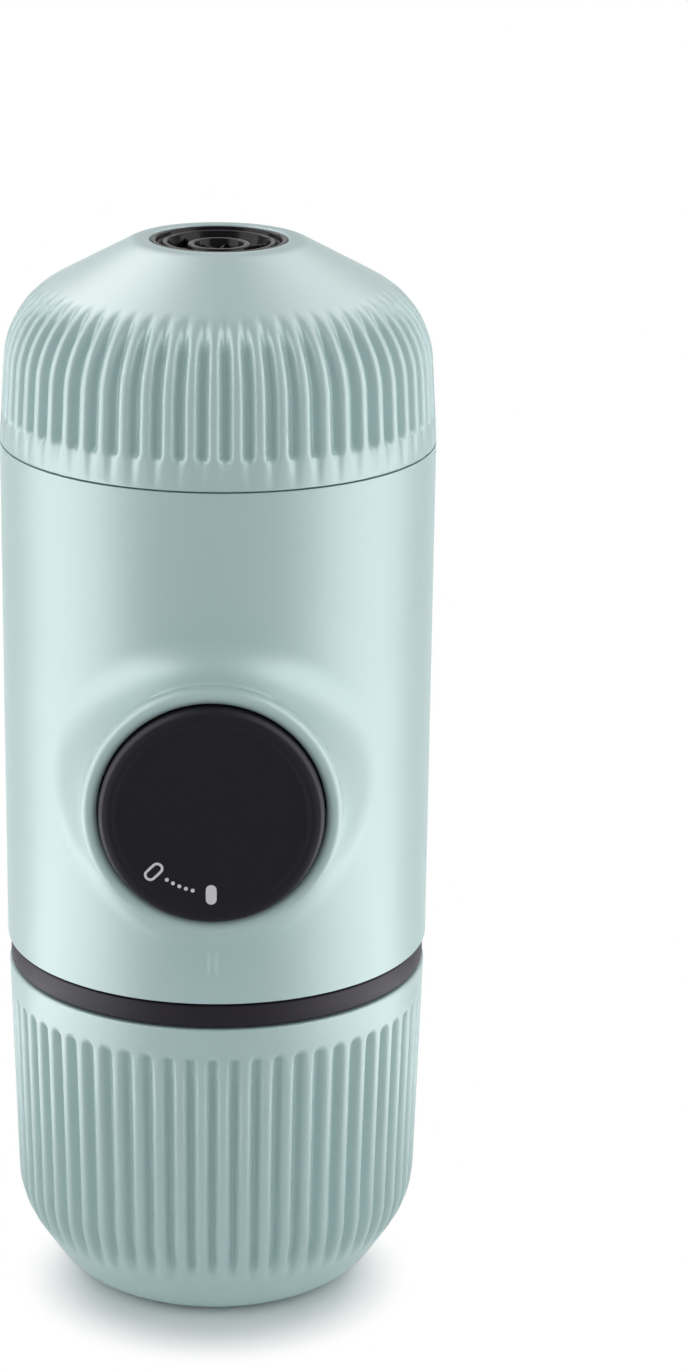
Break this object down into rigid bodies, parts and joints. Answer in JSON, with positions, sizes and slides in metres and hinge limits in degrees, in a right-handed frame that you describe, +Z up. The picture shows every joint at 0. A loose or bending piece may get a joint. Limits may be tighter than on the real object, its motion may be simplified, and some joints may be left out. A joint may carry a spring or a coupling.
{
  "type": "handheld manual espresso maker",
  "caption": "Upright capsule-shaped hand-pumped espresso maker with fluted cup and outlet head, a round pump knob on its side, water tank and brewing group inside.",
  "frame": {"origin": "middle of the flat foot of the cup, on the surface that it stands on", "axes": "+Z up along the casing's axis, -Y towards the pump knob, +X to the right seen from the knob"},
  "size_m": [0.062, 0.071, 0.156],
  "materials": {
    "shell_teal": "soft satin moulded plastic",
    "knob_black": "satin black moulded plastic",
    "frame_black": "matt black moulded plastic",
    "gloss_black": "glossy black moulded plastic",
    "tank_clear": "translucent smoke-grey moulded plastic",
    "seal_rubber": "soft black silicone rubber",
    "valve_rubber": "soft pale silicone rubber",
    "steel": "brushed stainless steel",
    "pump_white": "smooth pale moulded plastic"
  },
  "bodies": {
    "main_body": {"body_shell": "shell_teal", "collar_ring": "frame_black", "cup_grip": "seal_rubber", "tank_plate": "frame_black", "inlet_valve": "valve_rubber", "vent_valve": "valve_rubber", "pump_frame": "frame_black", "frame_screws": "steel", "pump_cylinder": "pump_white", "inlet_tube": "seal_rubber", "outlet_tube": "seal_rubber", "outlet_valve": "valve_rubber", "lock_ring": "frame_black", "return_spring": "steel", "brew_spigot": "frame_black", "brew_gasket": "valve_rubber", "shower_plate": "steel", "shower_screw": "steel"},
    "cup": {"cup": "shell_teal"},
    "tank_washer": {"tank_seal": "seal_rubber"},
    "tank": {"water_tank": "tank_clear"},
    "plunger": {"plunger_rod": "pump_white", "piston_head": "frame_black", "piston_seal": "valve_rubber", "rod_circlip": "steel"},
    "knob": {"knob_cap": "knob_black", "knob_sleeve": "knob_black"},
    "basket": {"filter_basket": "gloss_black", "basket_screen": "steel"},
    "head_washer": {"outlet_seal": "valve_rubber"},
    "outlet_head": {"head_shell": "shell_teal", "portafilter_housing": "frame_black", "outlet_screen": "steel", "crema_valve": "valve_rubber", "nozzle_insert": "gloss_black"}
  },
  "joints": [
    {"name": "cup_pull", "type": "slide", "parent": "main_body", "child": "cup", "axis": [0, 0, -1], "range_m": [0, 0.06]},
    {"name": "tank_drop", "type": "slide", "parent": "main_body", "child": "tank_washer", "axis": [0, 0, -1], "range_m": [0, 0.003]},
    {"name": "tank_turn", "type": "hinge", "parent": "tank_washer", "child": "tank", "pos_m": [0, 0, 0.045], "axis": [0, 0, -1], "range_deg": [0, 360]},
    {"name": "piston_stroke", "type": "slide", "parent": "main_body", "child": "plunger", "axis": [0, -1, 0], "range_m": [0, 0.022], "deforming": ["return_spring"]},
    {"name": "knob_turn", "type": "hinge", "parent": "plunger", "child": "knob", "pos_m": [0, -0.038, 0.08409], "axis": [0, -1, 0], "range_deg": [0, 45]},
    {"name": "head_lift", "type": "slide", "parent": "main_body", "child": "basket", "axis": [0, 0, 1], "range_m": [0, 0.05]},
    {"name": "head_rise", "type": "slide", "parent": "basket", "child": "head_washer", "axis": [0, 0, 1], "range_m": [0, 0.0015]},
    {"name": "head_turn", "type": "hinge", "parent": "head_washer", "child": "outlet_head", "pos_m": [0, 0, 0.14], "axis": [0, 0, 1], "range_deg": [0, 180]}
  ],
  "couplings": [
    {"joint": "tank_turn", "follows": "tank_drop", "rad_per_m": 2094.4},
    {"joint": "head_turn", "follows": "head_rise", "rad_per_m": 2094.4}
  ]
}
